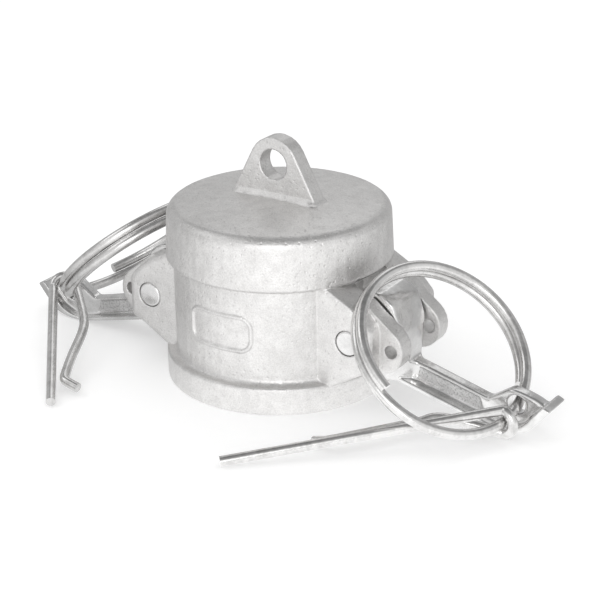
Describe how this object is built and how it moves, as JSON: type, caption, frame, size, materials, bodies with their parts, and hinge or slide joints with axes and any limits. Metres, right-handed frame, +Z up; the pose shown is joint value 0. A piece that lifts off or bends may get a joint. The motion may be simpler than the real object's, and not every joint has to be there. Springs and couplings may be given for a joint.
{
  "type": "cam and groove dust cap",
  "caption": "Metal dust cap for a cam and groove pipe adapter, with hinged cam arms, wire finger rings, hairpin safety clips and a lifting tab on its domed top.",
  "frame": {"origin": "centre of the closed inner face of the cap, at the end of its bore", "axes": "+Z up along the bore axis and out of the domed top, -Z out of the mouth, +X towards the right cam arm"},
  "size_m": [0.1356, 0.074, 0.0542],
  "materials": {
    "cast_steel": "bead-blasted stainless casting",
    "polished_steel": "tumbled bright stainless casting",
    "spring_steel": "bright drawn wire",
    "rubber": "matt moulded"
  },
  "bodies": {
    "cap": {"body": "cast_steel", "gasket": "rubber", "hinge_pin_right": "polished_steel", "hinge_pin_left": "polished_steel"},
    "arm_right": {"cam_arm_right": "polished_steel"},
    "arm_left": {"cam_arm_left": "polished_steel"},
    "ring_right": {"finger_ring_right": "spring_steel"},
    "ring_left": {"finger_ring_left": "spring_steel"},
    "clip_right": {"safety_clip_right": "spring_steel"},
    "clip_left": {"safety_clip_left": "spring_steel"}
  },
  "joints": [
    {"name": "arm_right_hinge", "type": "hinge", "parent": "cap", "child": "arm_right", "pos_m": [0.0258, 0, -0.0187], "axis": [0, -1, 0], "range_deg": [0, 103.8]},
    {"name": "arm_left_hinge", "type": "hinge", "parent": "cap", "child": "arm_left", "pos_m": [-0.0258, 0, -0.0187], "axis": [0, 1, 0], "range_deg": [0, 103.8]},
    {"name": "ring_right_swing", "type": "hinge", "parent": "arm_right", "child": "ring_right", "pos_m": [0.05907, 0, -0.02957], "axis": [0, -1, 0], "range_deg": [-176.46, 0]},
    {"name": "ring_left_swing", "type": "hinge", "parent": "arm_left", "child": "ring_left", "pos_m": [-0.05907, 0, -0.02957], "axis": [0, 1, 0], "range_deg": [-176.46, 0]},
    {"name": "clip_right_swing", "type": "hinge", "parent": "ring_right", "child": "clip_right", "pos_m": [0.05866, -0.00642, -0.03145], "axis": [0.2014, 0.9657, 0.1636], "range_deg": [0, 12]},
    {"name": "clip_left_swing", "type": "hinge", "parent": "ring_left", "child": "clip_left", "pos_m": [-0.05602, -0.00779, -0.02542], "axis": [0.474, -0.6864, 0.5516], "range_deg": [0, 35]}
  ],
  "couplings": [
    {"joint": "ring_right_swing", "follows": "arm_right_hinge", "ratio": -1.7},
    {"joint": "ring_left_swing", "follows": "arm_left_hinge", "ratio": -1.7}
  ]
}
